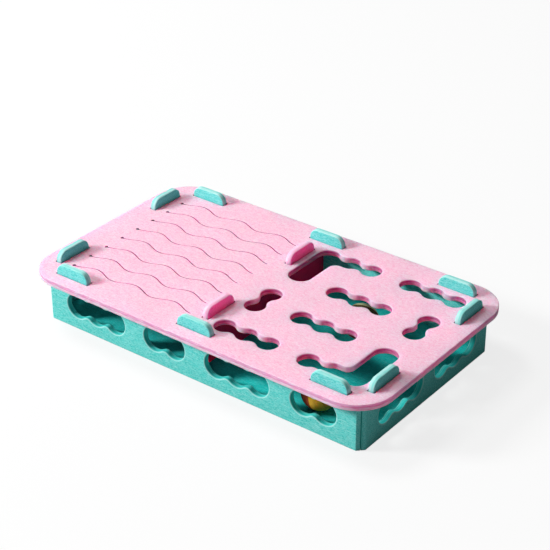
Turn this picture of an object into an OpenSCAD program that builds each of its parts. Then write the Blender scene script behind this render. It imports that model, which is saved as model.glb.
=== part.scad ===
// Cat maze toy box: a flat-pack box of soft felt board with paw holes and toy balls inside.
// The boards' tabs pass through slots in the top panel, which lifts straight off.
// Frame: X along the box, Y across it, Z up, origin on the ground under the middle of the box.

/* [Boards] */
// Thickness of every board
board = 6; // [4:0.5:8]
// Open joint where two boards meet
butt_gap = 0.2; // [0.1:0.05:0.5]
// Clearance on each side of a tab in its slot
slot_gap = 0.4; // [0.2:0.1:1]

/* [Top panel] */
// Length of the top panel
panel_l = 400; // [390:1:460]
// Width of the top panel
panel_w = 238; // [230:1:280]
// Radius of the top panel's corners
panel_r = 38; // [20:1:45]
// How far the top panel stands out past the walls
overhang = 15; // [10:0.5:17]

/* [Walls] */
// Inside radius of the box's upright corners
bend_r = 4; // [2:0.5:8]
// Distance of the divider from the middle of the box, towards the slits
divider_off = 5; // [0:0.5:8]

/* [Tabs] */
// Length of a tab
tab_len = 39; // [30:1:42]
// How far a tab stands above the top panel
tab_rise = 10.5; // [9:0.5:14]
// Radius of a tab's upper corners
tab_r = 9; // [4:0.5:10]
// Distance from the end of a board to its outer tab
tab_inset = 16; // [14:0.5:20]

/* [Paw holes in the walls] */
// Radius of one lobe of a wall hole
wall_lobe_r = 12; // [10:0.5:12.5]
// Distance between lobes in the long walls
long_pitch = 24.5; // [22:0.5:26]
// Distance between lobes in the short walls
short_pitch = 23; // [21:0.5:24]
// Radius of the neck between two lobes of a wall hole
wall_neck_r = 7; // [4:0.5:9]
// Board left between neighbouring holes of a long wall
long_hole_gap = 24; // [18:1:26]
// Board left between the two holes of a short wall
short_hole_gap = 19; // [14:1:26]
// Height of the sill under a three-lobed wall hole
sill_three = 12.5; // [10:0.5:13]
// Height of the sill under a two-lobed wall hole
sill_two = 13; // [10:0.5:15]
// Height of the sill under a hole of the back wall
sill_back = 9.5; // [8:0.5:10]

/* [Paw holes in the top] */
// Radius of one lobe of a top hole
top_lobe_r = 10.3; // [8:0.1:11]
// Distance between lobes of a top hole
top_pitch = 24.4; // [22:0.1:25]
// Radius of the neck between two lobes of a top hole
top_neck_r = 9; // [6:0.5:12]
// Half the width of an L-shaped hole's plain leg
leg_r = 12; // [11.5:0.5:13.5]
// Radius of the inner corner of an L-shaped hole
inner_r = 8; // [4:0.5:10]
// Distance from the box's centre line to the end of a plain leg
leg_end = 22; // [18:1:30]
// Margin between the inside of the walls and the outer holes
edge_inset = 7.2; // [6:0.2:9]
// Extra margin at the wall end of a three-lobed hole beside a wall
row_extra = 2; // [0:0.5:4]
// Distance from the centre line to the two holes in the middle
mid_off = 27.7; // [25:0.1:30]
// Distance from the centre line to the two-lobed holes
side_off = 24; // [22:0.5:26]

/* [Slits] */
// Number of slits
slit_count = 8; // [2:1:8]
// Distance between slits
slit_pitch = 22.8; // [15:0.1:23]
// Number of waves in a slit
slit_waves = 3; // [2:1:4]
// Length of one wave
wave_l = 48.5; // [30:0.5:50]
// Height of a wave above its middle line
wave_amp = 3.5; // [1:0.25:5]
// Width of the cut
kerf = 0.8; // [0.5:0.1:1.5]
// Diameter of the pierce hole where each cut starts
pierce_d = 2.8; // [1.6:0.1:3]

/* [Toy balls] */
// Diameter of a ball
ball_d = 35; // [32:0.5:42]
// Room between a ball and the top panel
headroom = 6.7; // [4:0.1:14]
// Running gap under a ball
ball_gap = 0.3; // [0.2:0.1:1]
// Front ball's distance from the front wall
front_ball_in = 3.5; // [0.5:0.5:8]
// Front ball's distance from the middle of its compartment, along the box
front_ball_x = 33; // [-60:0.5:60]
// Rear ball's distance from the middle of its compartment, along the box
rear_ball_x = -4.8; // [-60:0.1:60]
// Rear ball's distance from the centre line
rear_ball_y = 40; // [-10:0.5:60]

/* [Hidden] */
$fn = 96;
eps = 0.01;                 // small overlap that keeps joined arcs crossing cleanly
cut = 1;                    // how far a cutter runs past the faces it cuts
wave_steps = 16;            // points along one wave of a slit
teal = [0.40, 0.82, 0.77];
pink = [0.97, 0.75, 0.86];
yellow = [0.93, 0.74, 0.18];
green = [0.66, 0.80, 0.36];

// Levels above the ground
wall_h = board + ball_gap + ball_d + headroom;
tab_h = board + tab_rise;

// The box in plan, outside and inside the walls
box_l = panel_l - 2 * overhang;
box_w = panel_w - 2 * overhang;
corner_r = bend_r + board;
in_l = box_l - 2 * board;
in_w = box_w - 2 * board;
divider_len = in_w - 2 * butt_gap;

// The two compartments along X
divider_x = -divider_off;
left_mid = (-in_l / 2 + divider_x - board / 2) / 2;
right_mid = (in_l / 2 + divider_x + board / 2) / 2;
right_half = (in_l / 2 - divider_x - board / 2) / 2;

// Tab places along each kind of board, from the board's middle
long_tabs = [-1, 0, 1] * (box_l / 2 - tab_inset - tab_len / 2);
short_tabs = [-1, 1] * (box_w / 2 - tab_inset - tab_len / 2);
divider_tabs = [-1, 1] * (divider_len / 2 - tab_inset - tab_len / 2);

// Lobe counts of the holes in a long wall, and the row's length
long_lobes = [3, 2, 3, 2];
function span(n, r, pitch) = 2 * r + (n - 1) * pitch;
function long_span(i) = span(long_lobes[i], wall_lobe_r, long_pitch);
function row_start(i) = i == 0 ? 0 : row_start(i - 1) + long_span(i - 1) + long_hole_gap;
row_len = row_start(3) + long_span(3);

// Places of the top holes, from the middle of the right compartment
row_y = in_w / 2 - edge_inset - top_lobe_r;
row_x = right_half - edge_inset - row_extra - span(3, top_lobe_r, top_pitch) / 2;
side_x = right_half - edge_inset - leg_r;

// Rectangle with four round corners
module round_rect(l, w, r) {
    square([l - 2 * r, w], center = true);
    square([l, w - 2 * r], center = true);
    for (x = [-1, 1], y = [-1, 1])
        translate([x * (l / 2 - r), y * (w / 2 - r)])
            circle(r);
}

// Height of a neck arc's centre above the line through two lobes that it touches
function neck_h(r, pitch, neck_r) = sqrt((r + neck_r) ^ 2 - (pitch / 2) ^ 2) - eps;

// Distance along the row from a neck arc's centre to its touch with a lobe
function neck_x(r, pitch, neck_r) = pitch / 2 * neck_r / (r + neck_r) + eps;

// Waist between two lobes, the first of radius first_r: a block hollowed by arcs that touch both
module neck(first_r, r, pitch, neck_r, sides = [-1, 1]) {
    h = neck_h(r, pitch, neck_r);
    from = neck_x(first_r, pitch, neck_r);
    to = neck_x(r, pitch, neck_r);
    touch_y = r * h / (r + neck_r);
    for (side = sides)
        difference() {
            translate([-from, side > 0 ? -eps : -touch_y])
                square([from + to, touch_y + eps]);
            translate([0, side * h])
                circle(neck_r);
        }
}

// Row of n lobes along X with waists between them
module lobed(n, r, pitch, neck_r) {
    for (i = [0:n - 1])
        translate([(i - (n - 1) / 2) * pitch, 0])
            circle(r);
    for (i = [0:n - 2])
        translate([(i - (n - 2) / 2) * pitch, 0])
            neck(r, r, pitch, neck_r);
}

// L-shaped hole: a plain leg down -Y from the corner and a lobed arm along +X
module l_hole() {
    arc_h = neck_h(top_lobe_r, top_pitch, top_neck_r);
    cap_y = arc_h - sqrt((leg_r + top_neck_r) ^ 2 - (top_pitch / 2) ^ 2) + eps;
    foot_y = leg_end + leg_r - row_y;
    translate([-leg_r, foot_y])
        square([2 * leg_r, cap_y - foot_y]);
    for (y = [cap_y, foot_y])
        translate([0, y])
            circle(leg_r);
    for (i = [1, 2])
        translate([i * top_pitch, 0])
            circle(top_lobe_r);
    translate([top_pitch / 2, 0])
        neck(leg_r, top_lobe_r, top_pitch, top_neck_r, [1]);
    translate([top_pitch * 1.5, 0])
        neck(top_lobe_r, top_lobe_r, top_pitch, top_neck_r);
    translate([0, -top_lobe_r])
        square([top_pitch, top_lobe_r]);
    difference() {
        translate([leg_r - cut, -top_lobe_r - inner_r])
            square(inner_r + cut);
        translate([leg_r + inner_r - eps, -top_lobe_r - inner_r + eps])
            circle(inner_r);
    }
}

// Paw holes over the right compartment: one set, and the same set turned half round
module maze_holes() {
    for (turn = [0, 180])
        translate([right_mid, 0])
            rotate(turn) {
                translate([-side_x, row_y])
                    l_hole();
                translate([row_x, row_y])
                    lobed(3, top_lobe_r, top_pitch, top_neck_r);
                translate([0, mid_off])
                    lobed(3, top_lobe_r, top_pitch, top_neck_r);
                translate([side_x, side_off])
                    rotate(90)
                        lobed(2, top_lobe_r, top_pitch, top_neck_r);
            }
}

// One wavy cut along +X that starts in a trough at its pierce hole
module slit() {
    steps = slit_waves * wave_steps;
    mid = [for (i = [0:steps]) [i * wave_l / wave_steps, -wave_amp * cos(360 * i / wave_steps)]];
    polygon(concat(
        [for (p = mid) p + [0, kerf / 2]],
        [for (i = [steps:-1:0]) mid[i] - [0, kerf / 2]]));
    translate(mid[0])
        circle(d = pierce_d);
}

module slits() {
    for (i = [0:slit_count - 1])
        translate([left_mid - slit_waves * wave_l / 2, (i - (slit_count - 1) / 2) * slit_pitch])
            slit();
}

// Slots for tabs that lie along X, or along Y when turned
module slots(places) {
    for (x = places)
        translate([x, 0])
            square([tab_len, board] + 2 * slot_gap * [1, 1], center = true);
}

module top_panel() {
    color(pink)
        translate([0, 0, wall_h])
            linear_extrude(board)
                difference() {
                    round_rect(panel_l, panel_w, panel_r);
                    maze_holes();
                    slits();
                    for (turn = [0, 180])
                        rotate(turn) {
                            translate([0, (box_w - board) / 2])
                                slots(long_tabs);
                            translate([(box_l - board) / 2, 0])
                                rotate(90)
                                    slots(short_tabs);
                        }
                    translate([divider_x, 0])
                        rotate(90)
                            slots(divider_tabs);
                }
}

// Face of a tab, standing on its root inside the board below
module tab_face() {
    root = board;
    translate([-tab_len / 2, -root])
        square([tab_len, root + tab_h - tab_r]);
    translate([-tab_len / 2 + tab_r, 0])
        square([tab_len - 2 * tab_r, tab_h]);
    for (x = [-1, 1])
        translate([x * (tab_len / 2 - tab_r), tab_h - tab_r])
            circle(tab_r);
}

// Tabs on a board that runs along X, centred on its thickness
module tabs(places) {
    for (x = places)
        translate([x, board / 2, wall_h])
            rotate([90, 0, 0])
                linear_extrude(board)
                    tab_face();
}

// One side of the box with round ends, cut off at 45 degrees where it meets the next side
module mitred_side(side_l, side_w) {
    end = side_l / 2 - butt_gap;
    linear_extrude(wall_h)
        intersection() {
            difference() {
                round_rect(side_l, side_w, corner_r);
                round_rect(side_l - 2 * board, side_w - 2 * board, bend_r);
            }
            translate([0, -side_w / 2])
                polygon([
                    [-end, 0],
                    [end, 0],
                    [end - corner_r, corner_r],
                    [corner_r - end, corner_r]]);
        }
}

// Lobed holes through a board that runs along X at the front of the box
module wall_hole(n, pitch, sill) {
    translate([0, cut, sill + wall_lobe_r])
        rotate([90, 0, 0])
            linear_extrude(board + 2 * cut)
                lobed(n, wall_lobe_r, pitch, wall_neck_r);
}

// Long wall whose holes have one sill under three lobes and another under two
module long_wall(under_three, under_two) {
    difference() {
        union() {
            mitred_side(box_l, box_w);
            translate([0, (board - box_w) / 2, 0])
                tabs(long_tabs);
        }
        for (i = [0:3])
            translate([row_start(i) + (long_span(i) - row_len) / 2, board - box_w / 2, 0])
                wall_hole(long_lobes[i], long_pitch, long_lobes[i] == 3 ? under_three : under_two);
    }
}

module short_wall() {
    hole_x = (span(3, wall_lobe_r, short_pitch) + short_hole_gap) / 2;
    difference() {
        union() {
            mitred_side(box_w, box_l);
            translate([0, (board - box_l) / 2, 0])
                tabs(short_tabs);
        }
        for (x = [-1, 1])
            translate([x * hole_x, board - box_l / 2, 0])
                wall_hole(3, short_pitch, sill_three);
    }
}

module front_wall() { color(teal) long_wall(sill_three, sill_two); }
module back_wall() { color(teal) rotate(180) long_wall(sill_back, sill_back); }
module right_wall() { color(teal) rotate(90) short_wall(); }
module left_wall() { color(teal) rotate(-90) short_wall(); }

module divider() {
    color(pink)
        translate([divider_x, 0, 0])
            rotate(90) {
                translate([-divider_len / 2, -board / 2, board])
                    cube([divider_len, board, wall_h - board]);
                tabs(divider_tabs);
            }
}

module floor_panel() {
    color(teal)
        linear_extrude(board)
            round_rect(in_l - 2 * butt_gap, in_w - 2 * butt_gap, bend_r);
}

// A ball on the floor of the right compartment
module ball(x, y) {
    translate([right_mid + x, y, board + ball_gap + ball_d / 2])
        sphere(d = ball_d);
}

module front_ball() { color(yellow) ball(front_ball_x, (ball_d - in_w) / 2 + front_ball_in); }
module rear_ball() { color(green) ball(rear_ball_x, rear_ball_y); }

top_panel();
front_wall();
back_wall();
left_wall();
right_wall();
divider();
floor_panel();
front_ball();
rear_ball();
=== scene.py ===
# %% [markdown]
# # A cat maze toy box in felt board
# The toy is a low box. Four teal felt walls stand round a teal floor, a rose divider crosses it, and a pink
# top panel lies on the walls and hangs over them, with the tabs of the boards standing up through its
# slots. Paw holes are cut through the top and the walls, and two foam balls roll inside. The CAD model
# already has every board in its place, but its edges are sharp and bare. Here each board is made again as
# soft felt, in the same frame, so that nothing has to be fitted afterwards.

import bpy
import numpy as np
from mathutils import Matrix, Vector
from mathutils.geometry import delaunay_2d_cdt


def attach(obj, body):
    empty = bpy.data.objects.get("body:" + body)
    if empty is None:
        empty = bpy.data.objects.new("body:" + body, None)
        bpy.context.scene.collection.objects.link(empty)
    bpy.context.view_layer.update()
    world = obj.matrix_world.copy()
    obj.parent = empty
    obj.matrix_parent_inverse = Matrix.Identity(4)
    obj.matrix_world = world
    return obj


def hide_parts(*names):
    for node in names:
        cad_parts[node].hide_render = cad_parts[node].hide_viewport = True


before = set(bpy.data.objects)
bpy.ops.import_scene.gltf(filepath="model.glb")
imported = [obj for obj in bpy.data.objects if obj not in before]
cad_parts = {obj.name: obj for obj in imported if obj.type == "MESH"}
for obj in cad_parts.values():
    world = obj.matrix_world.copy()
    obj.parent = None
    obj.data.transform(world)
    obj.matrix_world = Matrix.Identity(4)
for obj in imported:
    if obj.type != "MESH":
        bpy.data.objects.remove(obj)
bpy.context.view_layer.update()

# %% [markdown]
# ## Sizes that the boards share
# Drawing in millimetres keeps the numbers readable, and one factor turns them to Blender's metres at the
# end. These are the lengths that several boards share, the same as in the part's source and repeated here
# because the script reads no other file. Every other size stands where it is first needed.

# %% Shared sizes in millimetres
MM = 0.001
BOARD = 6.0  # thickness of every felt board
WALL_H = 48.0  # the walls' height, up to the underside of the top panel
PANEL = (400.0, 238.0, 38.0)  # top panel: length, width, corner radius
WALLS = (370.0, 208.0)  # outside of the walls: length, width
DIVIDER = (-5.0, 97.8)  # divider: middle in X, half its length in Y
LONG_TABS = (-149.5, 0.0, 149.5)  # middles of the tabs, and of their slots, along a long wall
SHORT_TABS = (-68.5, 68.5)  # along a short wall
DIVIDER_TABS = (-62.3, 62.3)  # and along the divider
print("top panel", PANEL[:2], "mm, walls", WALLS, "mm outside")

# %% [markdown]
# ## Outlines
# Every board is cut from a sheet, so a board is one outline with holes in it. An outline is drawn here as a
# list of points in the plane of the sheet, put together from arcs. Tracing them by hand or booleans would
# also work, but arcs that touch each other give the smooth scallops that a cutter leaves.

# %% Arcs and closed outlines
ARC_STEP = 0.9  # about how far apart an arc's points are
EDGE_STEP = 2.5  # a longer edge is split
SAME_POINT = 0.02  # points nearer than this are one point


def arc(centre, radius, start, stop, step=ARC_STEP):
    """Points of an arc, about step millimetres apart: the centre plus the radius times the cosine and sine
    of angles that run evenly from start to stop, in degrees."""
    count = max(3, int(abs(np.radians(stop - start)) * radius / step) + 2)
    a = np.radians(np.linspace(start, stop, count))
    return np.stack([centre[0] + radius * np.cos(a), centre[1] + radius * np.sin(a)], axis=1)


def closed(*runs, step=EDGE_STEP):
    """One closed outline from runs of points: doubled points go, and every edge that is longer than step is
    split into equal parts, each part's place being its edge's start plus a fraction of the edge."""
    p = np.concatenate(runs)
    p = p[np.linalg.norm(p - np.roll(p, 1, axis=0), axis=1) > SAME_POINT]
    edge = np.roll(p, -1, axis=0) - p
    parts = np.ceil(np.linalg.norm(edge, axis=1) / step).astype(int)
    owner = np.repeat(np.arange(len(p)), parts)
    nth = np.arange(len(owner)) - np.repeat(np.cumsum(parts) - parts, parts)
    return p[owner] + edge[owner] * (nth / parts[owner])[:, None]


def rounded(length, width, radius):
    """Rectangle with round corners, anticlockwise: four quarter arcs about its middle."""
    x, y = length / 2 - radius, width / 2 - radius
    return closed(arc((x, y), radius, 0, 90), arc((-x, y), radius, 90, 180),
                  arc((-x, -y), radius, 180, 270), arc((x, -y), radius, 270, 360))


def turned(outline, degrees, shift=(0, 0)):
    """The outline turned about the origin and then shifted."""
    a = np.radians(degrees)
    spin = np.array([[np.cos(a), np.sin(a)], [-np.sin(a), np.cos(a)]])
    return outline @ spin + np.array(shift)


panel_outline = rounded(*PANEL)
print("top panel's outline has", len(panel_outline), "points")

# %% [markdown]
# ## Paw holes
# A paw hole is a row of round lobes with a waist between each two. A waist is a small arc that touches both
# of its lobes, so its centre lies where two circles of radius lobe plus waist meet. On the top panel one
# hole of each set turns a corner, with a leg that has round ends. The lobes could also be circles joined by
# booleans, but the arcs give an even spacing of points, which the soft edge needs later.

# %% Lobed holes
def touching(radius, waist, half):
    """Where the centre of a waist lies that touches two lobes: its height over their row, by Pythagoras
    from the sum of both radii and half the pitch, and the angle in degrees at which a lobe sees it."""
    rise = np.sqrt((radius + waist) ** 2 - half ** 2)
    return rise, np.degrees(np.arctan2(rise, half))


def lobed_hole(lobes, radius, pitch, waist):
    """Row of lobes along X. The upper half runs from right to left through lobe and waist arcs in turn, and
    the lower half is the upper half turned by 180 degrees."""
    half = pitch / 2
    rise, lean = touching(radius, waist, half)
    x = ((lobes - 1) / 2 - np.arange(lobes)) * pitch
    upper = [arc((x[0], 0), radius, 0, 180 - lean)]
    for left in x[1:]:
        upper += [arc((left + half, rise), waist, -lean, lean - 180),
                  arc((left, 0), radius, lean, 180 - lean)]
    upper = np.concatenate(upper + [arc((x[-1], 0), radius, 180 - lean, 180)])
    return closed(upper, -upper)


def corner_hole(radius, pitch, waist, leg, foot, inner):
    """Two lobes and a leg. The row lies on Y = 0 and the leg on X = 0, running down to the foot's centre.
    The leg's cap touches the first waist, and an inner arc rounds the corner between the arm and the
    leg."""
    half = pitch / 2
    rise, lean = touching(radius, waist, half)
    drop, tilt = touching(leg, waist, half)
    return closed(
        arc((2 * pitch, 0), radius, lean - 180, 180 - lean),
        arc((3 * half, rise), waist, -lean, lean - 180),
        arc((pitch, 0), radius, lean, 180 - lean),
        arc((half, rise), waist, -lean, tilt - 180),
        arc((0, rise - drop), leg, tilt, 180),
        arc((0, foot), leg, 180, 360),
        arc((leg + inner, -radius - inner), inner, 180, 90),
        arc((pitch, 0), radius, 270, 360 - lean),
        arc((3 * half, -rise), waist, 180 - lean, lean))


TOP_LOBES = dict(radius=10.3, pitch=24.4, waist=9.0)
row_hole = lobed_hole(3, **TOP_LOBES)
pair_hole = turned(lobed_hole(2, **TOP_LOBES), 90)
bent_hole = corner_hole(**TOP_LOBES, leg=12.0, foot=-46.5, inner=8.0)
print("holes of the top panel have", len(row_hole), len(pair_hole), len(bent_hole), "points")

# %% [markdown]
# ## Wavy slits
# The left half of the top panel is slit in eight rows, so that a paw can push through between the strips.
# Each slit follows a cosine and starts in a small round hole, where the cutter went in. A curve object with
# a bevel would need a boolean to cut it out, so the slit is one more outline, whose two edges run side by
# side.

# %% Slits
KERF = 0.85  # width of the cut, 0.05 mm wider than in the source so that it shows
PIERCE = 1.55  # radius of the pierced hole, 0.15 mm larger for the same reason
GAPE = 0.27  # share by which the strips open and close the kerf along a wave
FLARE = 1.2  # how far the pierced hole's widening reaches along the slit
WAVE = (145.5, 48.5, 3.5)  # slit: length, wavelength, half the height of a wave
START = (4.0, 9)  # length of the start that is drawn finely, and its number of points
SLIT_STEP = 1.6  # distance of the other points
PIERCE_STEP = 0.4  # distance of the points round the pierced hole


def slit():
    """Closed outline of one slit. The centre line is minus the height times the cosine of the distance, and
    the two edges lie half the kerf below and above it. The kerf is narrower and wider by a share of its
    width with the sine of the distance. Near the start a bell curve widens it to the pierced hole, which a
    half circle closes."""
    length, wavelength, height = WAVE
    fine, count = START
    x = np.concatenate([np.linspace(0, fine, count), np.linspace(fine, length, int(length / SLIT_STEP))[1:]])
    middle = -height * np.cos(2 * np.pi * x / wavelength)
    half = KERF / 2 * (1 - GAPE * np.sin(2 * np.pi * x / wavelength))
    half += (PIERCE - KERF / 2) * np.exp(-(x / FLARE) ** 2)
    lower = np.stack([x, middle - half], axis=1)
    upper = np.stack([x, middle + half], axis=1)[::-1]
    return closed(lower, upper, arc((0, -height), PIERCE, 90, 270, step=PIERCE_STEP))


slit_outline = slit()
print("a slit has", len(slit_outline), "points")

# %% [markdown]
# ## A soft-edged board
# Felt board has no sharp edge: the cut rounds off by about a millimetre and shows the fibres end on. A
# Bevel modifier on a flat mesh would do this too, but it stumbles on slits that are narrower than the
# bevel. So the rim is made as a profile, a flat margin, a quarter round, the cut side and the same again,
# which is carried along every outline. First every point of the outlines needs the direction that leads
# away from the felt.

# %% All outlines of one board
def edge_frame(outline):
    """For every point of a closed outline: the direction away from the felt, with the length that keeps
    both neighbouring edges equally far, the distance along the outline, and the length of the next edge."""
    edge = np.roll(outline, -1, axis=0) - outline
    size = np.linalg.norm(edge, axis=1)
    out = np.stack([edge[:, 1], -edge[:, 0]], axis=1) / size[:, None]
    before = np.roll(out, 1, axis=0)
    mitre = (out + before) / (1 + np.sum(out * before, axis=1, keepdims=True))
    return mitre, np.cumsum(size) - size, size


def wound(outline, anticlockwise):
    """The outline, with its mark, running the way that keeps the felt on its left, by the sign of its
    shoelace area."""
    x, y = outline.T[:2]
    area = np.sum(x * np.roll(y, -1) - y * np.roll(x, -1))
    return outline if (area > 0) == anticlockwise else outline[::-1]


def join_outlines(outer, holes):
    """All outlines of a board in one row of points. For each point: its place, how deep its colour is, its
    mitre, the distance along, the next edge's length, the edge radius, and which point follows it."""
    loops = [(wound(np.column_stack([o, np.broadcast_to(hollow, len(o))]), k == 0), r)
             for k, (o, r, hollow) in enumerate([outer, *holes])]
    outline, hollow = np.split(np.concatenate([o for o, r in loops]), [2], axis=1)
    mitre, run, size = (np.concatenate(v) for v in zip(*[edge_frame(o[:, :2]) for o, r in loops]))
    radius = np.concatenate([np.full(len(o), r) for o, r in loops])
    ends = np.cumsum([len(o) for o, r in loops])
    follow = np.arange(len(outline)) + 1
    follow[ends - 1] = np.concatenate([[0], ends[:-1]])
    return outline, hollow[:, 0], mitre, run, size, radius, follow


print("the top panel is", round(edge_frame(panel_outline)[2].sum()), "mm round")

# %% [markdown]
# The rim's marks tell the material where it is: how much of a cut a point is, how deep its colour is, and
# how much pale painted highlight it takes. The walls of holes take a deeper colour, which is painted shade,
# their rims a painted highlight, and the waists of the top holes, which stand out into the light, are
# painted paler as light, so a point of a hole carries its own depth of colour. Painting this by hand would
# have to be done again for every change of shape.

# %% Rim profile and its marks
IN_HOLE = 0.5  # depth of a cut's colour, from 0 outside to 1 at its darkest: in a hole, whose deeper wall colour is painted shade
LIT_WAIST_DEPTH = 0.15  # and at a waist, painted paler as light on the bump
BLEND = 7  # number of points over which these two run into each other
MARGIN = (0.3, 0.7)  # flat ring between the round edge and the fill, at slits and elsewhere
FINE_EDGE = 0.3  # only the slits have a smaller edge radius than this
QUARTER = np.radians(np.linspace(0, 90, 5))
CUT_FROM = QUARTER[2]  # from here on the round edge has the full colour of the cut


def lobe_depth(hole):
    """How deep the colour is at each point of a hole: a paler value, painted light, where the outline turns
    against the hole, as a waist does, IN_HOLE elsewhere, and a running mean of both between them."""
    before = hole - np.roll(hole, 1, axis=0)
    after = np.roll(hole, -1, axis=0) - hole
    turn = before[:, 0] * after[:, 1] - before[:, 1] * after[:, 0]
    depth = np.where(turn * turn.sum() < 0, LIT_WAIST_DEPTH, IN_HOLE)
    around = np.arange(len(hole))[:, None] + np.arange(BLEND) - BLEND // 2
    return depth[around % len(hole)].mean(axis=1)


def rim_profile(outline, mitre, radius, hollow):
    """Rows of points from the back face round the cut to the front face. A row's inset is the radius times
    one minus the sine of its angle, and its depth, from the nearer face, the radius times one minus the
    cosine. The mark of the painted highlight falls with the cosine from the rim of a hole into it, and stays
    full at a waist, which is painted paler as light."""
    turn = np.concatenate([QUARTER[:1], QUARTER, QUARTER[::-1], QUARTER[:1]])[:, None]
    front = (np.arange(len(turn)) >= len(turn) // 2)[:, None]
    inset = radius * (1 - np.sin(turn))
    inset[[0, -1]] += np.where(radius < FINE_EDGE, *MARGIN)
    sink = radius * (1 - np.cos(turn))
    depth = np.where(front, BOARD - sink, sink)
    rim = outline - inset[..., None] * mitre
    cut = np.broadcast_to(np.clip(turn / CUT_FROM, 0, 1), inset.shape)
    lighter = np.clip((IN_HOLE - hollow) / (IN_HOLE - LIT_WAIST_DEPTH), 0, 1)
    rim_highlight = np.maximum(np.cos(turn), lighter) * ((hollow > 0) & (hollow <= IN_HOLE))
    rim_highlight[[0, -1]] = 0.0
    return rim, depth, dict(cut=cut, hollow=hollow * np.clip(turn / QUARTER[-1], 0, 1), rim_highlight=rim_highlight)


print("a rim has", 2 * len(QUARTER) + 2, "rows, a row of lobes is worn at",
      np.sum(lobe_depth(row_hole) < IN_HOLE), "of its points")

# %% [markdown]
# The two flat sides are closed between the rims with a Delaunay fill, which keeps every outline edge and
# makes even triangles. One polygon with holes can't be a Blender face. The finished board is still a sheet:
# every point is only a place in it and a depth, and a last function lays, stands or folds it into its
# place.

# %% Fill of the flat sides
WHOLE_HULL = 0  # asks for every triangle within the hull of the points
NEARNESS = 1e-5  # points nearer than this are one to the fill


def fill_flat(points, start, follow):
    """Triangles between the outlines: a Delaunay fill that keeps every outline edge, without the triangles
    whose middle is outside, where a line to the left crosses the outlines an even number of times."""
    edges = np.stack([start, follow], axis=1).tolist()
    fill = delaunay_2d_cdt([Vector(p) for p in points], edges, [], WHOLE_HULL, NEARNESS)
    origin = np.array([ids[0] for ids in fill[3]])
    tris = origin[np.array(fill[2])]
    middle = points[tris].mean(axis=1)
    a, b = points[start], points[follow]
    rise = np.where(b[:, 1] == a[:, 1], 1.0, b[:, 1] - a[:, 1])
    spans = (a[:, 1] > middle[:, 1:]) != (b[:, 1] > middle[:, 1:])
    cross_x = a[:, 0] + (middle[:, 1:] - a[:, 1]) * (b[:, 0] - a[:, 0]) / rise
    inside = np.sum(spans & (middle[:, :1] > cross_x), axis=1) % 2 == 1
    return tris[inside]


ring = np.arange(len(row_hole))
print("a paw hole would be filled by", len(fill_flat(row_hole, ring, np.roll(ring, -1))), "triangles")

# %% Whole board
def put_mesh(name, points, faces, corner_uv, marks):
    """A smooth mesh object from points in millimetres, faces, a UV for every face corner and point
    marks."""
    mesh = bpy.data.meshes.new(name)
    mesh.from_pydata((points * MM).tolist(), [], faces)
    mesh.uv_layers.new(name="sheet").data.foreach_set("uv", (corner_uv * MM).astype(np.float32).ravel())
    for mark, values in marks.items():
        mesh.attributes.new(mark, "FLOAT", "POINT").data.foreach_set("value", values.astype(np.float32))
    mesh.shade_smooth()
    piece = bpy.data.objects.new(name, mesh)
    bpy.context.scene.collection.objects.link(piece)
    print(f"{name}: {len(points)} points, {len(faces)} faces")
    return piece


def felt_board(name, outer, holes, place, spots=np.zeros((0, 2))):
    """A board BOARD thick. outer and every hole are (outline, edge radius, depth of colour), the last as
    one value or one for each point. place turns (along, up, depth) to X, Y, Z. spots are extra points
    within the flat sides. UVs are the distance along and the depth on the rim, and the place in the sheet
    elsewhere."""
    outline, hollow, mitre, run, size, radius, follow = join_outlines(outer, holes)
    rim, depth, marks = rim_profile(outline, mitre, radius, hollow)
    rows, count = depth.shape
    here = np.arange(count)
    low = (np.arange(rows - 1) * count)[:, None]
    quads = np.stack([low + here, low + follow, low + count + follow, low + count + here], axis=-1)
    along = np.stack([run, run + size, run + size, run], axis=-1)
    across = np.stack([depth[:-1], depth[:-1], depth[1:], depth[1:]], axis=-1)
    quad_uv = np.stack([np.broadcast_to(along, across.shape), across], axis=-1).reshape(-1, 2)

    flat = np.concatenate([rim[-1], spots])
    tris = fill_flat(flat, here, follow)
    back = np.where(tris < count, tris, tris - count + rows * count)
    face = np.where(tris < count, tris + (rows - 1) * count, tris - count + rows * count + len(spots))
    tri_uv = np.concatenate([flat[tris], flat[tris[:, ::-1]]]).reshape(-1, 2)

    sheet = np.concatenate([rim.reshape(-1, 2), spots, spots])
    level = np.concatenate([depth.ravel(), np.zeros(len(spots)), np.full(len(spots), BOARD)])
    bare = np.zeros(2 * len(spots))
    marks = {mark: np.concatenate([values.ravel(), bare]) for mark, values in marks.items()}
    faces = quads.reshape(-1, 4).tolist() + face.tolist() + back[:, ::-1].tolist()
    corner_uv = np.concatenate([quad_uv, tri_uv])
    return put_mesh(name, place(sheet[:, 0], sheet[:, 1], level), faces, corner_uv, marks)


print("boards are", BOARD, "mm thick")

# %% [markdown]
# ## The top panel
# The panel lies flat on the walls. Its right half carries two sets of holes, the second being the first
# turned by half a turn, its left half carries the slits, and twelve slots take the tabs. Array modifiers
# could repeat the holes, but as lists of outlines they all go through the one fill of the panel.

# %% Holes, slots and slits of the panel
SOFT = 0.9  # radius of a felt edge
SLOT_EDGE, SLIT_EDGE = 0.5, 0.25  # the same at slots and slits
SLOT = (40.2, 7.3, 0.4)  # tab slot: length, width, corner radius; drawn a little wide so that it shows
SLOT_SHADE = 0.9  # how deep the colour of a slot's walls is: painted shade in the gap round a tab
SLIT_DEPTH = (0.65, 0.35, 2.5)  # of a slit's whole kerf, what its scorched start adds, and how far along that reaches
RIGHT_MID, LEFT_MID = 88.5, -93.5  # middles of the holes' half and of the slits' half, in X
SLIT_ROWS, SLIT_PITCH = 8, 22.8

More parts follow.
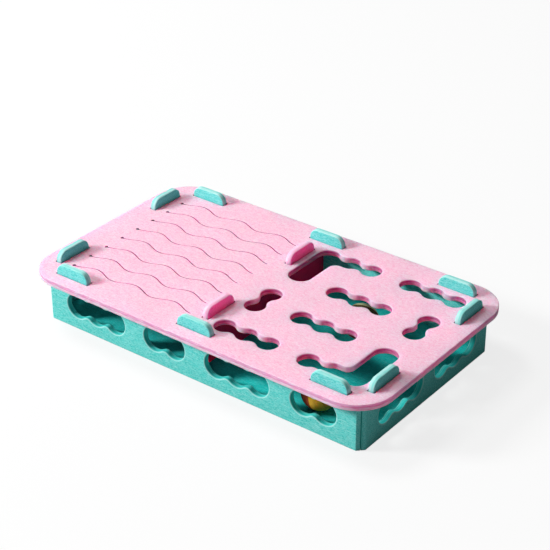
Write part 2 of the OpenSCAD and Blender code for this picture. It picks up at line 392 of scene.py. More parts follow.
hole_set = [turned(bent_hole, 0, (-71.3, 80.5)), turned(row_hole, 0, (46.6, 80.5)),
            turned(row_hole, 0, (0, 27.7)), turned(pair_hole, 0, (71.3, 24.0))]
paw_holes = [turned(hole, half_turn, (RIGHT_MID, 0)) for half_turn in (0, 180) for hole in hole_set]

slot_x = rounded(*SLOT)
slot_y = turned(slot_x, 90)
wall_y, wall_x = WALLS[1] / 2 - BOARD / 2, WALLS[0] / 2 - BOARD / 2
tab_slots = [turned(slot_x, 0, (x, side * wall_y)) for side in (-1, 1) for x in LONG_TABS]
tab_slots += [turned(slot_y, 0, (side * wall_x, y)) for side in (-1, 1) for y in SHORT_TABS]
tab_slots += [turned(slot_y, 0, (DIVIDER[0], y)) for y in DIVIDER_TABS]

slits = [turned(slit_outline, 0, (LEFT_MID - WAVE[0] / 2, (row - (SLIT_ROWS - 1) / 2) * SLIT_PITCH))
         for row in range(SLIT_ROWS)]
print(len(paw_holes), "paw holes,", len(tab_slots), "slots and", len(slits), "slits")

# %% Top panel
PANEL_EDGE = 0.6  # the panel's own edge is pressed flatter than the others
dull, added, reach = SLIT_DEPTH
# a slit's walls are darker along the whole kerf, most at the scorched start
kerf_darkness = dull + added * np.exp(-(slit_outline[:, 0] / reach) ** 2)
# hole walls take the deeper colour, painted shade, and their waists a paler one, painted light
panel_holes = [(hole, SOFT, lobe_depth(hole)) for hole in paw_holes]
# slots' walls take nearly the darkest colour, painted shade round the tabs
panel_holes += [(slot, SLOT_EDGE, SLOT_SHADE) for slot in tab_slots]
panel_holes += [(line, SLIT_EDGE, kerf_darkness) for line in slits]


def lying(height):
    """A board that lies flat: along is X, up is Y and depth is Z over the given height."""
    return lambda along, up, depth: np.stack([along, up, height + depth], axis=1)


top_panel = felt_board("top_panel_felt", (panel_outline, PANEL_EDGE, 0.0), panel_holes, lying(WALL_H))

# %% [markdown]
# ## The walls
# Each wall is a strip that is folded by 45 degrees near both ends and meets the next wall in an upright
# seam on the corner. A flat strip is drawn first, with its tabs and paw holes, and then folded: past the
# fold line it runs on at 45 degrees, and deeper in the board that line lies further back, so that the board
# keeps its thickness. A Simple Deform modifier would bend the strip round instead. Extra points beside each
# fold keep it crisp.

# %% Folded strips with tabs
TAB = (39.0, 16.5, 9.0)  # tab: length, height above the wall, radius of its upper corners
STRIP_STEP = 0.8  # distance of the points along a strip's outline
CHAMFER = 6.2  # how far from the corner a strip is folded
FOLD = np.tan(np.radians(22.5))  # a fold by 45 degrees shortens the inside by this much for each mm of depth
SLOPE = np.sqrt(0.5)  # sine and cosine of 45 degrees
SEAM = 0.15  # half of the seam between two walls


def strip(end, tabs, foot=0.0):
    """Outline of a strip from foot to WALL_H that is two ends long, anticlockwise, with tabs on its upper
    edge whose upper corners are quarter arcs."""
    length, rise, radius = TAB
    inset, crown = length / 2 - radius, WALL_H + rise - radius
    upper = []
    for mid in sorted(tabs, reverse=True):
        upper += [np.array([[mid + length / 2, WALL_H]]), arc((mid + inset, crown), radius, 0, 90),
                  arc((mid - inset, crown), radius, 90, 180), np.array([[mid - length / 2, WALL_H]])]
    base = np.array([[-end, foot], [end, foot], [end, WALL_H]])
    return closed(base, *upper, np.array([[-end, WALL_H]]), step=STRIP_STEP)


def folded(half_length, half_width, degrees):
    """A wall on the front side, turned about Z. Up to the fold X is the distance along. Past it the strip
    runs on at 45 degrees, to the seam; inside the board the fold lies further back and the run is shorter,
    both by the tangent of half the angle for each millimetre of depth."""
    end = half_length - CHAMFER + CHAMFER * SLOPE - SEAM

    def place(along, up, depth):
        inside = BOARD - depth
        fold = half_length - CHAMFER - FOLD * inside
        run = CHAMFER * SLOPE - FOLD * inside - SEAM
        past = np.clip(np.abs(along) - fold, 0, None) * run / (end - fold) * SLOPE
        x = np.sign(along) * (np.minimum(np.abs(along), fold) + past)
        y = inside - half_width + past
        return np.concatenate([turned(np.stack([x, y], axis=1), degrees), up[:, None]], axis=1)
    return end, place


long_end, short_end = (folded(WALLS[k] / 2, 0, 0)[0] for k in (0, 1))
print("flat strips are", round(2 * long_end, 1), "and", round(2 * short_end, 1), "mm long outside")

# %% Four walls
SEAM_SHADE = 0.8  # how deep the colour of a seam's end faces is: painted shade in the gap between two walls
BESIDE_FOLD = np.array([-4.0, -2.9, -2.1, -1.0, -0.3, 0.3, 1.0, 2.0])  # columns of extra points
FOLD_ROWS = (2.6, 10)  # their distance from the strip's edges, and the number of rows
LONG_HOLES = ((-121, 3), (-36.25, 2), (48.5, 3), (133.25, 2))  # a long wall's holes: middle, number of lobes
SHORT_HOLES = (-44.5, 44.5)  # middles of a short wall's holes, which have three lobes
# The front wall's lobes are 0.8 mm larger than in the source, so that the overhang hides their upper waists
FRONT_LOBES = dict(radius=12.8, pitch=23.7, waist=7.0)
BACK_LOBES = dict(radius=12.0, pitch=24.5, waist=7.0)
SHORT_LOBES = dict(radius=12.0, pitch=23.0, waist=7.0)
FRONT_RISE = {3: 25.3, 2: 25.8}  # height of the holes' middles, by their number of lobes
BACK_RISE = {3: 21.5, 2: 21.5}  # lower, so that no daylight falls through both long walls
SHORT_RISE = 24.5


def wall(name, half_length, half_width, degrees, tabs, holes):
    """A strip with its holes, folded at both corners, with points on a grid along the folds."""
    end, place = folded(half_length, half_width, degrees)
    across = half_length - CHAMFER + BESIDE_FOLD
    clear, rows = FOLD_ROWS
    grid = np.meshgrid(np.concatenate([-across, across]), np.linspace(clear, WALL_H - clear, rows))
    outline = strip(end, tabs)
    # the end faces in the seam are darkened, painted shade in the gap
    seam_shade = np.where(np.abs(outline[:, 0]) > end - SAME_POINT, SEAM_SHADE, 0.0)
    # holes take the deeper colour of a hole wall: painted shade
    return felt_board(name, (outline, SOFT, seam_shade), [(hole, SOFT, IN_HOLE) for hole in holes], place,
                      np.stack(grid, axis=-1).reshape(-1, 2))


def long_wall_holes(sizes, rise):
    """The four holes of a long wall, from lobes of the given sizes at the given heights."""
    return [turned(lobed_hole(lobes, **sizes), 0, (x, rise[lobes])) for x, lobes in LONG_HOLES]


front_holes = long_wall_holes(FRONT_LOBES, FRONT_RISE)
back_holes = long_wall_holes(BACK_LOBES, BACK_RISE)
short_holes = [turned(lobed_hole(3, **SHORT_LOBES), 0, (y, SHORT_RISE)) for y in SHORT_HOLES]
half_x, half_y = WALLS[0] / 2, WALLS[1] / 2
front_wall = wall("front_wall_felt", half_x, half_y, 0, LONG_TABS, front_holes)
back_wall = wall("back_wall_felt", half_x, half_y, 180, LONG_TABS, back_holes)
right_wall = wall("right_wall_felt", half_y, half_x, 90, SHORT_TABS, short_holes)
left_wall = wall("left_wall_felt", half_y, half_x, 270, SHORT_TABS, short_holes)

# %% [markdown]
# ## Divider and floor
# The divider stands on the floor, across the box, and holds the panel's middle with two tabs. The floor
# lies between the walls. Both are plain boards, so they use the same board function with another way of
# placing it.

# %% Divider and floor
FLOOR = (357.6, 195.6, 4.0)  # floor panel: length, width, corner radius


def standing(middle):
    """A board that stands across the box: along is Y, up is Z and depth is X about the given middle."""
    return lambda along, up, depth: np.stack([middle - BOARD / 2 + depth, along, up], axis=1)


divider_x, divider_end = DIVIDER
divider_outline = strip(divider_end, DIVIDER_TABS, BOARD)
divider = felt_board("divider_felt", (divider_outline, SOFT, 0.0), [], standing(divider_x))
floor_panel = felt_board("floor_panel_felt", (rounded(*FLOOR), SOFT, 0.0), [], lying(0.0))

# %% [markdown]
# ## Foam balls
# Such balls are ground from a block of coloured foam sheets, so each shows flat bands with a fine step
# between them. A UV sphere with a striped picture would do from far away. Here a ball is turned: a half
# circle, with a shallow groove at every joint, goes round the axis that the bands lie across. The front
# ball's axis runs along the front wall. The rear ball's pale end leans back and up, where a lit crescent of
# it shows through a hole, and the dark olive band beside it is painted shade.

# %% Banded balls
BALL_R = 17.5
CLEAR = 0.05  # how far the foam stays inside the ball's full radius
GROOVE = (0.35, 0.35)  # a groove's half width and depth
FRONT_JOINTS = (-11.5, -4.6, 1.6, 7.9)  # where the foam sheets meet, along the ball's axis
REAR_JOINTS = (-8.0, -2.0, 9.0, 14.0)


def banded_ball(name, centre, axis, joints, rows=97, columns=128):
    """Half circle turned about the axis: at polar angle a, the height along the axis is the radius times
    the cosine and the reach is the radius times the sine. Near a joint the radius drops by a narrow bell
    curve."""
    width, depth = GROOVE
    a = np.linspace(0, np.pi, rows)[1:-1]
    groove = np.exp(-((BALL_R * np.cos(a)[:, None] - np.array(joints)) / width) ** 2).sum(axis=1)
    radius = BALL_R - CLEAR - depth * groove
    b = np.linspace(0, 2 * np.pi, columns, endpoint=False)
    axis = Vector(axis).normalized()
    side = axis.orthogonal().normalized()
    ball_axes = np.array([side, axis.cross(side), axis])
    reach = radius * np.sin(a)
    rings = np.stack([np.outer(reach, np.cos(b)), np.outer(reach, np.sin(b)),
                      np.outer(radius * np.cos(a), np.ones(columns))], axis=-1).reshape(-1, 3)
    poles = np.array([[0, 0, BALL_R - CLEAR], [0, 0, CLEAR - BALL_R]])
    local = np.concatenate([rings, poles])

    here = np.arange(columns)
    after = (here + 1) % columns
    low = (np.arange(rows - 3) * columns)[:, None]
    quads = np.stack([low + here, low + columns + here, low + columns + after, low + after], axis=-1)
    last, top, bottom = (rows - 3) * columns, len(rings), len(rings) + 1
    caps = np.concatenate([np.stack([np.full(columns, top), here, after], axis=1),
                           np.stack([np.full(columns, bottom), last + after, last + here], axis=1)])
    faces = quads.reshape(-1, 4).tolist() + caps.tolist()
    corners = np.concatenate([quads.ravel(), caps.ravel()])
    points = local @ ball_axes + np.array(centre)
    return put_mesh(name, points, faces, local[corners, :2], dict(band=local[:, 2]))


front_ball = banded_ball("front_ball_foam", (121.5, -77, 23.8), (1, 0.25, 0.2), FRONT_JOINTS)
rear_ball = banded_ball("rear_ball_foam", (83.7, 40, 23.8), (-0.27, 0.84, 0.44), REAR_JOINTS)

# %% [markdown]
# ## Felt
# Needle felt is a mat of short plastic fibres. From a step away it is matt, with a fine pale grain, a faint
# unevenness and a soft bloom at glancing angles. The grain is solid noise on Object coordinates, stretched
# in two crossing directions for the fibres. A photographed felt would show more, but noise has no seams and
# stays sharp at any size.

# %% Colour and node helpers
def to_linear(code):
    """sRGB hex to linear RGBA: the standard curve, a straight part below 0.04045 and a power of 2.4
    above."""
    c = np.array([int(code[k:k + 2], 16) for k in (1, 3, 5)]) / 255
    return (*np.where(c <= 0.04045, c / 12.92, ((c + 0.055) / 1.055) ** 2.4), 1.0)


def add_node(tree, kind, inputs, **settings):
    """Adds a node, applies its settings, and links or sets its inputs."""
    node = tree.nodes.new(kind)
    for name, value in settings.items():
        setattr(node, name, value)
    for name, value in inputs.items():
        if isinstance(value, bpy.types.NodeSocket):
            tree.links.new(value, node.inputs[name])
        else:
            node.inputs[name].default_value = value
    return node


def new_material(name):
    """An empty node material, its node tree and its output node."""
    material = bpy.data.materials.new(name)
    material.use_nodes = True
    material.node_tree.nodes.clear()
    return material, material.node_tree, material.node_tree.nodes.new("ShaderNodeOutputMaterial")


print("sRGB #808080 is", round(to_linear("#808080")[0], 3), "in linear light")

# %% The felt's face
GRAIN = 1.4 * MM  # clumps of fibres, really about 0.6 mm, drawn coarser so that they show
CLUMPS = (0.36, 0.56, 0.8)  # noise levels at which a clump is full and ends, and its share of deep
FIBRE = (0.5 * MM, 5.0 * MM)  # a fibre bundle's width and length
FIBRE_TURNS = ((0.5, 0.2, 0.6), (-0.4, 0.7, -0.9))  # the two directions of the fibres, in radians
FIBRES = (0.52, 0.74)  # noise levels at which a fibre starts and is full
CLOUD = 35 * MM  # size of the faint unevenness
CLOUDS = (0.97, 1.02)  # its darkest and lightest factor
UNDER = ((WALL_H + 4) * MM, (WALL_H - 2) * MM)  # heights between which a board goes under the top panel and takes the painted light


def felt_face(tree, coord, face, pale, deep, painted_light_under_panel):
    """Colour and nap of the face. Clumps of fibres take it from the face's colour to deep, the stronger of
    two crossing sets of fibres takes it on to pale, and a slow cloud scales it by a few hundredths. Under
    the top panel it is multiplied by a painted tint, painted light that stands for light come through or off
    the pink top. The nap is the sum of clumps and fibres."""
    clump = add_node(tree, "ShaderNodeTexNoise", {
        "Vector": coord, "Scale": 1 / GRAIN, "Detail": 3.0, "Roughness": 0.65, "Distortion": 0.6})
    strands = []
    for fibre_turn in FIBRE_TURNS:
        lay = add_node(tree, "ShaderNodeMapping", {
            "Vector": coord, "Rotation": fibre_turn, "Scale": (1 / FIBRE[1], 1 / FIBRE[0], 1 / FIBRE[0])})
        strand = add_node(tree, "ShaderNodeTexNoise", {
            "Vector": lay.outputs[0], "Scale": 1.0, "Detail": 2.0, "Distortion": 0.4})
        strands.append(strand.outputs[0])
    fibre = add_node(tree, "ShaderNodeMath", {0: strands[0], 1: strands[1]}, operation="MAXIMUM")
    cloud = add_node(tree, "ShaderNodeTexNoise", {"Vector": coord, "Scale": 1 / CLOUD})
    nap = add_node(tree, "ShaderNodeMath", {0: clump.outputs[0], 1: fibre.outputs[0]}, operation="ADD")

    full, ends, most = CLUMPS
    dark = add_node(tree, "ShaderNodeMapRange", {
        "Value": clump.outputs[0], "From Min": full, "From Max": ends, "To Min": most, "To Max": 0.0})
    light = add_node(tree, "ShaderNodeMapRange", {
        "Value": fibre.outputs[0], "From Min": FIBRES[0], "From Max": FIBRES[1]})
    tone = add_node(tree, "ShaderNodeMix", {
        "Factor": dark.outputs[0], "A": to_linear(face), "B": to_linear(deep)}, data_type="RGBA")
    bloom = add_node(tree, "ShaderNodeMix", {
        "Factor": light.outputs[0], "A": tone.outputs["Result"], "B": to_linear(pale)}, data_type="RGBA")
    shade = add_node(tree, "ShaderNodeMapRange", {
        "Value": cloud.outputs[0], "From Min": 0.3, "From Max": 0.7,
        "To Min": CLOUDS[0], "To Max": CLOUDS[1]})
    even = add_node(tree, "ShaderNodeVectorMath", {
        "Vector": bloom.outputs["Result"], "Scale": shade.outputs[0]}, operation="SCALE")
    place = add_node(tree, "ShaderNodeSeparateXYZ", {"Vector": coord})
    under = add_node(tree, "ShaderNodeMapRange", {
        "Value": place.outputs["Z"], "From Min": UNDER[0], "From Max": UNDER[1]})
    tint = add_node(tree, "ShaderNodeMix", {
        "Factor": under.outputs[0], "A": to_linear("#FFFFFF"), "B": to_linear(painted_light_under_panel)}, data_type="RGBA")
    sheet = add_node(tree, "ShaderNodeVectorMath", {
        0: even.outputs[0], 1: tint.outputs["Result"]}, operation="MULTIPLY")
    return sheet.outputs[0], nap.outputs[0]


print("grain", GRAIN / MM, "mm, fibres", FIBRE[0] / MM, "by", FIBRE[1] / MM, "mm")

# %% [markdown]
# Where felt is cut the fibres show end on, in thin streaks. The half of a cut nearer the back face is
# painted paler and the other half deeper; on the lying top panel that is the lower half, painted light from
# the floor below. The streaks and this step follow the rim through the UV map that the boards were given,
# because noise in space would run across the edge.

# %% The felt's cut edge
STREAK = (9 * MM, 0.9 * MM)  # a streak's length and width, coarser than a real fibre so that it shows
FLOOR_LIGHT_BAND = (2.6 * MM, 3.4 * MM)  # depths between which the cut goes from its paler half to its deeper half
FLOOR_LIGHT_STEP = 0.12  # how much the half nearer the back face is painted paler and the other deeper
WISPS = (0.35, 0.65)  # noise levels of the deepest and the palest streaks


def felt_cut(tree):
    """Streaks of the cut and their share of the paler colour: noise stretched along the edge, plus a painted
    step that falls from the half nearer the back face to the other, spread over 0 to 1. On the top panel
    that paler half is the lower one, painted light from the floor below."""
    rim = add_node(tree, "ShaderNodeUVMap", {}, uv_map="sheet")
    squeeze = add_node(tree, "ShaderNodeMapping", {
        "Vector": rim.outputs[0], "Scale": (1 / STREAK[0], 1 / STREAK[1], 1.0)})
    streak = add_node(tree, "ShaderNodeTexNoise", {
        "Vector": squeeze.outputs[0], "Scale": 1.0, "Detail": 3.0})
    across = add_node(tree, "ShaderNodeSeparateXYZ", {"Vector": rim.outputs[0]})
    floor_light = add_node(tree, "ShaderNodeMapRange", {
        "Value": across.outputs["Y"], "From Min": FLOOR_LIGHT_BAND[0], "From Max": FLOOR_LIGHT_BAND[1],
        "To Min": FLOOR_LIGHT_STEP, "To Max": -FLOOR_LIGHT_STEP})
    wisp = add_node(tree, "ShaderNodeMath", {0: streak.outputs[0], 1: floor_light.outputs[0]}, operation="ADD")
    streaks_and_floor_light = add_node(tree, "ShaderNodeMapRange", {
        "Value": wisp.outputs[0], "From Min": WISPS[0], "From Max": WISPS[1]})
    return streak.outputs[0], streaks_and_floor_light.outputs[0]


print("streaks", STREAK[0] / MM, "by", STREAK[1] / MM, "mm")

# %% [markdown]
# The whole felt lays its colours over each other by the marks of the boards: the face, the cut, the deeper
# wall of a hole, which is painted shade, the darkest cuts, which are painted shade in slots and seams and a
# darker kerf in slits, most at their scorched start, and last a pale painted highlight along the rims of
# holes and on their waists. Light also scatters in the pale pink mat, red the furthest, so its shadows turn
# rosy and its edges glow; Subsurface does this from a radius for each colour. Surface colour alone would
# leave them grey.

# %% Needle felt
HIGHLIGHT_SHARE = 0.55  # share of the painted highlight colour where its mark is full
SCATTER = 5 * MM  # the mat's scattering length, times the reach of each colour
NAP = (0.35, 0.35 * MM)  # strength and height of the nap's bump


def needle_felt(name, face, pale, deep, cut, hole, darkest, highlight_colour, painted_light_under_panel="#FFFFFF", glow=0.0,
                reach=(1.0, 1.0, 1.0)):
    """Felt board. Each next colour covers the last by its mark: cut and hole are pairs of a deep and a pale
    colour, mixed by the streaks; a hole's colour, painted shade on the walls of holes, is full at a depth of
    IN_HOLE, and the darkest, painted shade in slots and seams and a darker kerf in slits, at 1."""
    material, tree, output = new_material(name)
    coord = add_node(tree, "ShaderNodeTexCoord", {}).outputs["Object"]
    # Under the top panel the face takes a painted crimson tint: painted light from the pink top
    colour, nap = felt_face(tree, coord, face, pale, deep, painted_light_under_panel)
    streak, streaks_and_floor_light = felt_cut(tree)
    is_cut, depth, rim_highlight = (add_node(tree, "ShaderNodeAttribute", {}, attribute_name=mark).outputs["Fac"]
                           for mark in ("cut", "hollow", "rim_highlight"))
    in_hole = add_node(tree, "ShaderNodeMapRange", {"Value": depth, "From Max": IN_HOLE})
    in_dark = add_node(tree, "ShaderNodeMapRange", {"Value": depth, "From Min": IN_HOLE})
    # a pale painted highlight on the rims of holes and on their waists
    highlight_share = add_node(tree, "ShaderNodeMath", {0: rim_highlight, 1: HIGHLIGHT_SHARE}, operation="MULTIPLY")
    layers = ((is_cut, cut), (in_hole.outputs[0], hole), (in_dark.outputs[0], (darkest, darkest)),
              (highlight_share.outputs[0], (highlight_colour, highlight_colour)))
    for share, (low, high) in layers:
        side = add_node(tree, "ShaderNodeMix", {
            "Factor": streaks_and_floor_light, "A": to_linear(low), "B": to_linear(high)}, data_type="RGBA")
        over = add_node(tree, "ShaderNodeMix", {
            "Factor": share, "A": colour, "B": side.outputs["Result"]}, data_type="RGBA")
        colour = over.outputs["Result"]
    relief = add_node(tree, "ShaderNodeMix", {"Factor": is_cut, "A": nap, "B": streak})
    bump = add_node(tree, "ShaderNodeBump", {
        "Height": relief.outputs["Result"], "Strength": NAP[0], "Distance": NAP[1]})
    # Plastic fibre has an IOR near 1.5, but the loose mat hardly shines and only blooms at glancing angles
    shader = add_node(tree, "ShaderNodeBsdfPrincipled", {
        "Base Color": colour, "Normal": bump.outputs[0], "Roughness": 0.93, "IOR": 1.47,
        "Specular IOR Level": 0.05, "Sheen Weight": 0.04, "Sheen Roughness": 0.45,
        "Subsurface Weight": glow, "Subsurface Radius": reach, "Subsurface Scale": SCATTER},
        subsurface_method="BURLEY")
    tree.links.new(shader.outputs[0], output.inputs[0])
    return material


print("light scatters over", SCATTER / MM, "mm times each colour's reach")

# %% The four felts
# Pale pink of the top panel: milky, with rosy shadows and greyish cut edges; the deep pink of its hole walls
# is painted shade
pink_felt = needle_felt(
    "needle_felt_pink", face="#FBCBDF", pale="#FEE4EE", deep="#F49FC3", cut=("#DC9BBE", "#EEDBE9"),
    hole=("#B45080", "#D787AC"), darkest="#42283E", highlight_colour="#FCD8E7", glow=0.9, reach=(5.0, 0.6, 1.5))
# Divider: the pink felt with a deeper face, which is painted shade because the divider stands in shade, and
# pale cut edges on its tabs. Under the top panel a crimson tint is painted on it as painted light, for the
# light that has come through or off the pink top
pink_felt_painted_shade = needle_felt(
    "needle_felt_pink_painted_shade", face="#F27EBC", pale="#F6A2CC", deep="#E264A6", cut=("#EAB6D0", "#F3CDE0"),
    hole=("#E07FAB", "#F4AECB"), darkest="#8E3F68", highlight_colour="#F6A2CC", painted_light_under_panel="#FF6088", glow=0.9,
    reach=(3.0, 0.6, 1.4))
# Teal of the walls: bright and dry, with a clear pale fleck and paler cut edges; the deeper teal in its
# holes is painted shade, and the almost white rims of its holes a painted highlight
teal_felt = needle_felt(
    "needle_felt_teal", face="#68E2DB", pale="#ACF3EF", deep="#34C4BC", cut=("#8CDED8", "#B6EAE6"),
    hole=("#30CCC4", "#58E4DC"), darkest="#1C8A82", highlight_colour="#C8FAF6")
# Teal of the floor: the wall felt painted deeper and more saturated, as painted shade for the dim inside of
# the box
teal_felt_painted_shade = needle_felt(
    "needle_felt_teal_painted_shade", face="#16BEB8", pale="#4ECAC4", deep="#0A9C95", cut=("#4FC8BF", "#7FDCD4"),
    hole=("#45C2B8", "#7FE0D8"), darkest="#1C8A82", highlight_colour="#4ECAC4")
print("felt materials:", pink_felt.name, pink_felt_painted_shade.name, teal_felt.name, teal_felt_painted_shade.name)

# %% [markdown]
# ## Ground foam
# The balls' foam is closed-cell and dull, with pits where the grinder opened the cells. The bands' colours
# come from the distance along the ball's axis, which every point carries, through a ramp without blending.
# Separate materials for the bands would need faces that end exactly at the joints.

# %% Ground foam
CELL = 0.9 * MM  # opened cells, really about 0.3 mm, drawn coarser so that they show
PIT = (0.4, 0.3 * MM)  # strength and depth of the pits' bump
PIT_SHADE = (0.82, 1.05)  # factors of the colour in the middle of a pit and between the pits


def ground_foam(name, joints, colours):
    """Banded foam: the band mark, scaled to 0..1 over the ball, picks a colour at each joint; cells make
    pits, which are darker at their middles."""
    material, tree, output = new_material(name)
    coord = add_node(tree, "ShaderNodeTexCoord", {}).outputs["Object"]
    band = add_node(tree, "ShaderNodeAttribute", {}, attribute_name="band")
    height = add_node(tree, "ShaderNodeMapRange", {
        "Value": band.outputs["Fac"], "From Min": -BALL_R, "From Max": BALL_R})
    ramp = add_node(tree, "ShaderNodeValToRGB", {"Fac": height.outputs[0]})
    ramp.color_ramp.interpolation = "CONSTANT"
    stops = ramp.color_ramp.elements
    for _ in colours[2:]:
        stops.new(0.5)
    for stop, place, code in zip(stops, [-BALL_R, *joints], colours):
        stop.position = (place + BALL_R) / (2 * BALL_R)
        stop.color = to_linear(code)
    cells = add_node(tree, "ShaderNodeTexVoronoi", {"Vector": coord, "Scale": 1 / CELL})
    pit = add_node(tree, "ShaderNodeMapRange", {
        "Value": cells.outputs["Distance"], "From Max": 0.6, "To Min": PIT_SHADE[0], "To Max": PIT_SHADE[1]})
    colour = add_node(tree, "ShaderNodeVectorMath", {
        "Vector": ramp.outputs[0], "Scale": pit.outputs[0]}, operation="SCALE")
    bump = add_node(tree, "ShaderNodeBump", {
        "Height": pit.outputs[0], "Strength": PIT[0], "Distance": PIT[1]})
    # Closed-cell foam has the IOR of its plastic, about 1.48, and a dull, dry shine
    shader = add_node(tree, "ShaderNodeBsdfPrincipled", {
        "Base Color": colour.outputs[0], "Normal": bump.outputs[0], "Roughness": 0.78, "IOR": 1.48,
        "Specular IOR Level": 0.35})
    tree.links.new(shader.outputs[0], output.inputs[0])
    return material


# Red and rust to warm yellow: the front ball glows yellow behind the last hole of the front wall
front_foam = ground_foam("ground_foam_front", FRONT_JOINTS,
                         ["#8E2A20", "#BA4A2A", "#F4B434", "#F2A42A", "#DC8C26"])
# Red and orange, a dark olive band that is painted shade, and a pale green end, of which a lit crescent
# shows through the top
rear_foam = ground_foam("ground_foam_rear", REAR_JOINTS,
                        ["#B23327", "#E09A2E", "#4A4420", "#C9D7A0", "#E9EFD2"])
print("foam materials:", front_foam.name, rear_foam.name)

# %% [markdown]
# ## Bodies, nodes and slots
# Every piece stands for the CAD node of the same board, moves with that node's body, and gets its material;
# the record's slot of each stands beside it in the table. The lid lifts with the top panel alone; walls,
# divider and floor stay together as the box.

# %% Hand the pieces over
for piece, node, body, slot, material in (
        (top_panel, "top_panel", "lid", "pink_felt", pink_felt),
        (front_wall, "front_wall", "box", "teal_felt", teal_felt),
        (back_wall, "back_wall", "box", "teal_felt", teal_felt),
        (left_wall, "left_wall", "box", "teal_felt", teal_felt),
        (right_wall, "right_wall", "box", "teal_felt", teal_felt),
        (divider, "divider", "box", "pink_felt", pink_felt_painted_shade),
        (floor_panel, "floor_panel", "box", "teal_felt", teal_felt_painted_shade),
        (front_ball, "front_ball", "front_ball", "rainbow_foam", front_foam),
        (rear_ball, "rear_ball", "rear_ball", "rainbow_foam", rear_foam)):
    piece.data.materials.append(material)
    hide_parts(node)
    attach(piece, body)
    print(piece.name, "stands for", node, "on", body)

# %% [markdown]
# ## Studio
# The toy stands on a pale floor before a white background. To the camera the floor is nearly white and
# keeps the toy's soft shadow, but the light that it gives back is that of a mid grey, and the world gives
# little, so that the shaded sides stay deep. A brighter floor would flatten them.

# %% Floor and world
ROOM_LIGHT = 0.09  # strength of the world's light on the toy
FLOOR_HALF = 6.0  # half the side of the studio floor, in metres
FLOOR_GLOW = 0.8  # share of plain white in what the camera sees of the floor
WHITE = (1.0, 1.0, 1.0, 1.0)


def camera_share(tree):
    """1 for what the camera sees directly or in a mirror or glass, 0 for the light that falls on things."""
    path = add_node(tree, "ShaderNodeLightPath", {})
    seen = add_node(tree, "ShaderNodeMath", {
        0: path.outputs["Is Camera Ray"], 1: path.outputs["Is Glossy Ray"]}, operation="MAXIMUM")
    return add_node(tree, "ShaderNodeMath", {
        0: seen.outputs[0], 1: path.outputs["Is Transmission Ray"]}, operation="MAXIMUM").outputs[0]


world = bpy.data.worlds.new("studio_world")
bpy.context.scene.world = world
world.use_nodes = True
sky_tree = world.node_tree
sky_tree.nodes.clear()
room = add_node(sky_tree, "ShaderNodeBackground", {"Color": WHITE, "Strength": ROOM_LIGHT})
white = add_node(sky_tree, "ShaderNodeBackground", {"Color": WHITE, "Strength": 1.0})
sky = add_node(sky_tree, "ShaderNodeMixShader", {
    0: camera_share(sky_tree), 1: room.outputs[0], 2: white.outputs[0]})
add_node(sky_tree, "ShaderNodeOutputWorld", {"Surface": sky.outputs[0]})

floor_mesh = bpy.data.meshes.new("studio_floor")
floor_corners = [(x * FLOOR_HALF, y * FLOOR_HALF, 0) for x, y in ((-1, -1), (1, -1), (1, 1), (-1, 1))]
floor_mesh.from_pydata(floor_corners, [], [(0, 1, 2, 3)])
studio_floor = bpy.data.objects.new("studio_floor", floor_mesh)
bpy.context.scene.collection.objects.link(studio_floor)
floor_paint, tree, output = new_material("matt_floor_paint")
matt = add_node(tree, "ShaderNodeBsdfDiffuse", {"Color": to_linear("#A8A8A8")})
pale = add_node(tree, "ShaderNodeBsdfDiffuse", {"Color": to_linear("#F2F2F2")})
glow = add_node(tree, "ShaderNodeEmission", {"Color": WHITE, "Strength": 1.0})
lit = add_node(tree, "ShaderNodeMixShader", {0: FLOOR_GLOW, 1: pale.outputs[0], 2: glow.outputs[0]})
paint = add_node(tree, "ShaderNodeMixShader", {0: camera_share(tree), 1: matt.outputs[0], 2: lit.outputs[0]})
tree.links.new(paint.outputs[0], output.inputs[0])
floor_mesh.materials.append(floor_paint)
print("floor and world are in place")

# %% [markdown]
# Three white lamps light the toy. The key lamp stands high on the left: its light falls through the top
# holes onto the sills of the right wall's holes and leaves that wall dark. A smaller lamp, lower and in
# front on the left, lights the front wall and draws the longer shadows of the tabs. A weak, wide one
# overhead softens both. A sky picture could light the toy as softly, but lamps can be placed one by one.

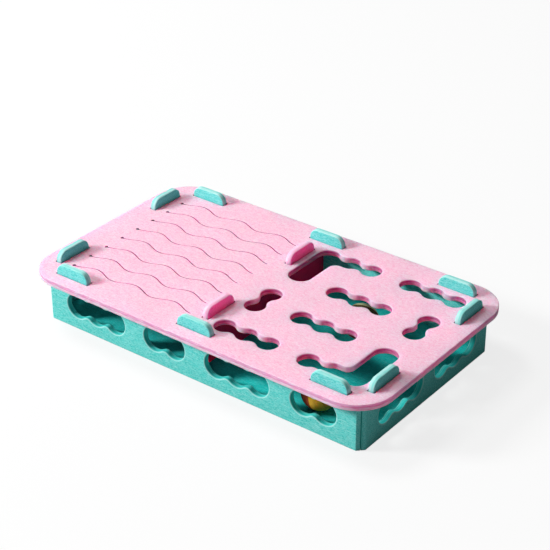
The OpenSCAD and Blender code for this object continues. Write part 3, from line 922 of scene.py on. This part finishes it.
# %% Lamps
LAMP_DISTANCE = 4.0  # metres from the toy


def soft_lamp(name, azimuth, elevation, size, power):
    """A square lamp that looks at the toy from an azimuth, counted from the front towards the right, and an
    elevation, both in degrees. Its place is the distance times the sines and cosines of both."""
    a, e = np.radians([azimuth, elevation])
    lamp = bpy.data.lights.new(name, "AREA")
    lamp.shape = "SQUARE"
    lamp.size = size
    lamp.energy = power
    holder = bpy.data.objects.new(name, lamp)
    holder.location = LAMP_DISTANCE * Vector((np.sin(a) * np.cos(e), -np.cos(a) * np.cos(e), np.sin(e)))
    holder.rotation_euler = holder.location.to_track_quat("Z", "Y").to_euler()
    bpy.context.scene.collection.objects.link(holder)
    return holder


key = soft_lamp("key_lamp", azimuth=-92, elevation=58, size=1.2, power=75)
front = soft_lamp("front_lamp", azimuth=-50, elevation=28, size=0.8, power=170)
overhead = soft_lamp("overhead_lamp", azimuth=-60, elevation=88, size=1.8, power=10)
print("lamps:", key.name, front.name, overhead.name)

# %% [markdown]
# ## Camera
# The camera's place and focal length were worked out from the corners and holes in the photograph: it stands
# to the right of the front, about 1.56 m away and 32 degrees up, with a long lens. Turning it by hand until
# the picture fits would come close, but would leave a few pixels of error.

# %% Camera
SENSOR = 36.0  # sensor width in millimetres
PHOTO_PX = 550  # width of the photograph
FOCAL_PX = 1634.07  # focal length in pixels of the photograph
CAMERA_AT = Vector((815.022, -1042.767, 831.075)) * MM
aim = Vector((-0.527598, 0.685406, -0.501856)).normalized()
right = Vector((0.792945, 0.609292, -0.001482)).normalized()

lens = bpy.data.cameras.new("photo_camera")
lens.sensor_width = SENSOR
lens.lens = FOCAL_PX / PHOTO_PX * SENSOR
camera = bpy.data.objects.new("photo_camera", lens)
turn = Matrix((right, right.cross(aim), -aim)).transposed().to_4x4()
camera.matrix_world = Matrix.Translation(CAMERA_AT) @ turn
bpy.context.scene.collection.objects.link(camera)
bpy.context.scene.camera = camera
bpy.context.scene.view_settings.view_transform = "Standard"
print("camera at", [round(v, 3) for v in camera.location])
